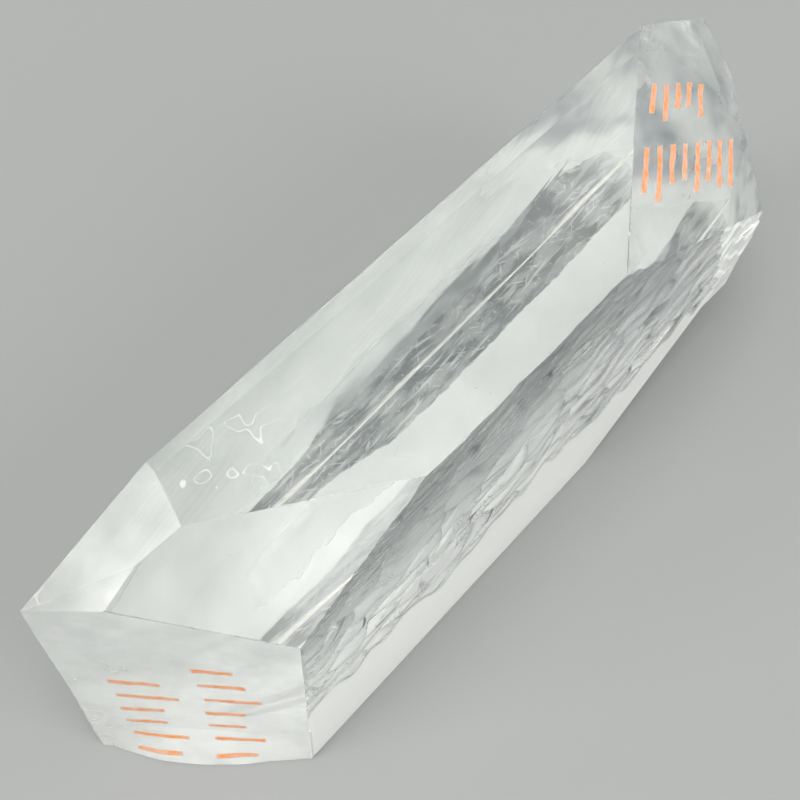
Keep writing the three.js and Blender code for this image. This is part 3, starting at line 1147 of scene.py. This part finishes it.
def brokenQuartz():
    # rough broken patches: the chunky steps and the ledges
    material, tree, shader, position = newMaterial("brokenQuartz")
    cloudy = noiseAt(tree, position, *broken["noise"])
    color = mixColor(tree, cloudy, broken["white"], broken["grey"])
    clearShare = mathNode(tree, "MULTIPLY_ADD", cloudy, -broken["cloud"], broken["clear"], clamp=True)
    dress(tree, shader, color, clearShare, broken["rough"])
    relief = noiseAt(tree, position, *broken["bumpNoise"])
    addBump(tree, shader, relief, broken["bumpDistance"], broken["bumpStrength"])
    return material


materials = {
    "clear": clearQuartz("clearQuartz", quartz["haze"]),
    "near": clearQuartz("markedNearEnd", quartz["nearHaze"], quartz["nearBase"], nearStrokes),
    "slope": clearQuartz("nearSlopeQuartz", quartz["slopeHaze"], quartz["slopeBase"]),
    "far": clearQuartz("markedFarSlope", quartz["haze"], strokes=farStrokes),
    "grown": clearQuartz("grownTop", quartz["haze"], grown=True),
    "shoulder": clearQuartz("grownShoulder", quartz["nearHaze"], quartz["slopeBase"], grown=True),
    "undercut": etchedUndercut(),
    "front": cobbledQuartz(),
    "back": backQuartz(),
    "frosted": frostedUnderside(),
    "broken": brokenQuartz(),
    "edge": bruisedHighlightEdge(),
}
slots = list(materials)

# which polygon belongs to which face
belonging = {
    "sameWay": 0.9995,          # least cosine to a flat face's normal, and most distance from it
    "samePlane": 0.0004,
    "frontDepth": 0.01,         # smooth polygons before this depth are the front face, and those
    "backDepth": 0.03,          # behind the second one the back face
    "ledged": 0.5,              # share of ledges from which the front face counts as broken
    "swellWay": 0.8,            # least cosine of the swelling's polygons to the near end's normal
    "swellInside": 0.0003,      # how far inside the near end such a one may lie
    "swellOutside": 0.00002,    # any smooth one further outside belongs to it too
}


def assignMaterials(piece):
    # the slot of each polygon follows from the way it looks and from its place
    mesh = piece.data
    mesh.materials.clear()
    for name in slots:
        mesh.materials.append(materials[name])
    count = len(mesh.polygons)
    normals = np.empty(count * 3)
    centres = np.empty(count * 3)
    smooth = np.empty(count, dtype=bool)
    mesh.polygons.foreach_get("normal", normals)
    mesh.polygons.foreach_get("center", centres)
    mesh.polygons.foreach_get("use_smooth", smooth)
    normals = normals.reshape(-1, 3)
    centres = centres.reshape(-1, 3) - np.array(corner)

    def facing(flat):
        # the polygons that look the same way as a flat face and lie in its plane
        way = np.array(Vector(flat[0]).normalized())
        inPlane = np.abs(centres @ way - flat[1]) < belonging["samePlane"]
        return (normals @ way > belonging["sameWay"]) & inPlane

    slot = np.full(count, slots.index("clear"))
    known = np.zeros(count, dtype=bool)
    for flat in list(flats.values()) + [wornFlat(*edge) for edge in wornEdges]:
        known |= facing(flat)
    front = smooth & (centres[:, 1] < belonging["frontDepth"])
    ledged = ledgeShare(centres[:, 0], centres[:, 2]) > belonging["ledged"]
    nearWay = np.array(Vector(flats["nearEnd"][0]).normalized())
    outside = centres @ nearWay
    swelling = (normals @ nearWay > belonging["swellWay"]) & (outside > -belonging["swellInside"])
    swelling = smooth & (swelling | (outside > belonging["swellOutside"]))
    areas = {
        "broken": (~smooth & ~known) | (front & ledged),
        "grown": facing(flats["top"]),
        "slope": facing(flats["nearSlope"]),
        "shoulder": facing(flats["shoulder"]) | facing(flats["lowShoulder"]),
        "far": facing(flats["farSlope"]),
        "front": front & ~ledged,
        "back": smooth & (centres[:, 1] > belonging["backDepth"]),
        "near": facing(flats["nearEnd"]) | swelling,
        "frosted": facing(flats["underside"]),
        "undercut": facing(flats["underCut"]),
        "edge": facing(wornFlat(*wornEdges[-1])),
    }
    for name, area in areas.items():        # a later area takes what an earlier one has
        slot[area] = slots.index(name)
    mesh.polygons.foreach_set("material_index", slot.astype(np.int32))
    mesh.update()


assignMaterials(crystal)
markFront(crystal.data)
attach(crystal, "root")
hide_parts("crystal")
print("materials set")

# floor and lights
floorSetup = {
    "reach": 6.0,
    "height": -0.0003,
    "color": (0.235, 0.240, 0.240),
    "rough": 0.7,
}
lamps = {
    # place, the point it looks at, width and power of each
    "keyLight": ((-1.35, -0.45, 4.5), (0, 0, 0), 3.0, 255),
    "sideLight": ((-3.9, 1.5, 3.0), (0, 0, 0.05), 2.4, 90),
    "frontLight": ((0.45, -3.3, 2.7), (0, 0, 0.03), 2.4, 80),
}
lampColor = (1.0, 0.99, 0.96)
roomColor = (0.97, 1.0, 0.98)
roomStrength = 0.58
bounces = {"all": 24, "glossy": 16, "diffuse": 8, "transmission": 16}   # light turns often in quartz


def makeFloor():
    # one wide pale square just below the crystal
    signs = [(-1, -1), (1, -1), (1, 1), (-1, 1)]
    corners = [(x * floorSetup["reach"], y * floorSetup["reach"], floorSetup["height"]) for x, y in signs]
    mesh = bpy.data.meshes.new("floor")
    mesh.from_pydata(corners, [], [(0, 1, 2, 3)])
    material = bpy.data.materials.new("paleFloor")
    material.use_nodes = True
    shader = material.node_tree.nodes["Principled BSDF"]
    shader.inputs["Base Color"].default_value = (*floorSetup["color"], 1)
    shader.inputs["Roughness"].default_value = floorSetup["rough"]
    mesh.materials.append(material)
    floor = addObject("floor", mesh)


def softLight(name, place, target, width, power):
    # a square soft light that looks from its place at the target
    data = bpy.data.lights.new(name, "AREA")
    data.shape = "RECTANGLE"
    data.size = width
    data.size_y = width
    data.energy = power
    data.color = lampColor
    lamp = addObject(name, data)
    lamp.location = place
    lamp.rotation_euler = (Vector(target) - Vector(place)).to_track_quat("-Z", "Y").to_euler()
    return lamp


makeFloor()
for lampName, lampSetup in lamps.items():
    lamp = softLight(lampName, *lampSetup)
    lamp.visible_glossy = lampName != "keyLight"    # or its mirror image glares on the flat top

world = bpy.data.worlds.new("studio")
bpy.context.scene.world = world
world.use_nodes = True
world.node_tree.nodes["Background"].inputs["Color"].default_value = (*roomColor, 1)
world.node_tree.nodes["Background"].inputs["Strength"].default_value = roomStrength

cameraSetup = {
    "alongBar": -0.05157,       # from the front lower corner of the near end
    "inFront": 0.06032,
    "above": 0.28751,
    "downTilt": 58.003,         # degrees below the horizon
    "heading": 38.506,          # degrees the view turns from the bar's own direction
    "roll": 3.483,
    "focalPixels": 1201.07,     # for a frame this many pixels wide
    "framePixels": 800,
    "sensor": 36,
    "clipStart": 0.01,
}


def makeCamera():
    # a camera turned by heading, tilt and roll: its right, up and forward ways are worked out
    # one after the other and become the columns of its matrix
    tilt = math.radians(cameraSetup["downTilt"])
    heading = math.radians(cameraSetup["heading"])
    roll = math.radians(cameraSetup["roll"])
    level = Vector((math.cos(heading), math.sin(heading), 0))
    right = Vector((math.sin(heading), -math.cos(heading), 0))
    forward = level * math.cos(tilt) - Vector((0, 0, 1)) * math.sin(tilt)
    up = level * math.sin(tilt) + Vector((0, 0, 1)) * math.cos(tilt)
    turnedRight = right * math.cos(roll) + up * math.sin(roll)
    turnedUp = up * math.cos(roll) - right * math.sin(roll)
    data = bpy.data.cameras.new("camera")
    data.sensor_width = cameraSetup["sensor"]
    data.lens = cameraSetup["focalPixels"] / cameraSetup["framePixels"] * data.sensor_width
    data.clip_start = cameraSetup["clipStart"]
    camera = addObject("camera", data)
    place = corner + Vector((cameraSetup["alongBar"], -cameraSetup["inFront"], cameraSetup["above"]))
    turn = Matrix((turnedRight, turnedUp, -forward)).transposed().to_4x4()
    camera.matrix_world = Matrix.Translation(place) @ turn
    bpy.context.scene.camera = camera


makeCamera()
cycles = bpy.context.scene.cycles
cycles.max_bounces = bounces["all"]
cycles.glossy_bounces = bounces["glossy"]
cycles.diffuse_bounces = bounces["diffuse"]
cycles.transmission_bounces = bounces["transmission"]
bpy.context.scene.view_settings.view_transform = "Standard"
print("floor, light and camera set")
